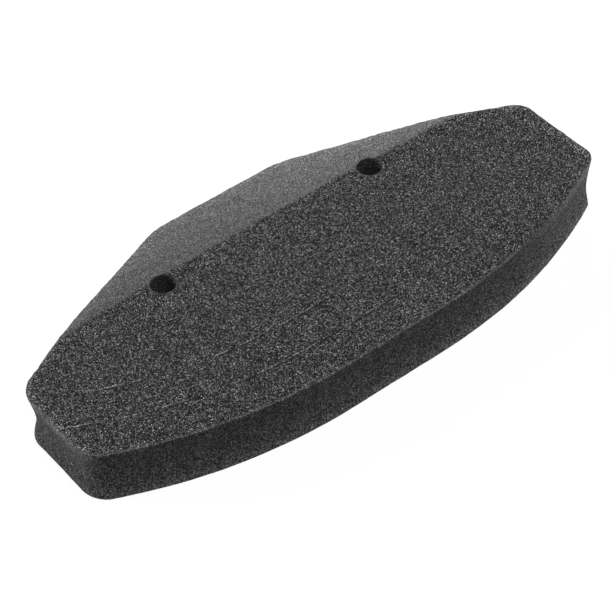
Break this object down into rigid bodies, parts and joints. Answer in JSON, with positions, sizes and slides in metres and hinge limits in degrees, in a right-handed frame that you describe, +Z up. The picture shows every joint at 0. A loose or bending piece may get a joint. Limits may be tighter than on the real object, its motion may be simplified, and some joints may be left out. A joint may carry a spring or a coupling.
{
  "type": "foam bumper block",
  "caption": "Black closed-cell foam impact block with a bowed front edge, square ends, dished die-cut walls, a bevelled rear edge and through holes for mounting posts.",
  "frame": {"origin": "midway between the two post holes, on the flat bottom face", "axes": "+X along the block's length, +Y towards the bevelled rear edge with the bowed front edge at -Y, +Z up from the bottom face to the top face"},
  "size_m": [0.154, 0.0716, 0.015],
  "materials": {
    "foam": "matte closed-cell foam, sawn speckled faces, finer die-cut walls and a buffed grey bevel"
  },
  "bodies": {
    "root": {"foam_block": "foam"}
  },
  "joints": []
}
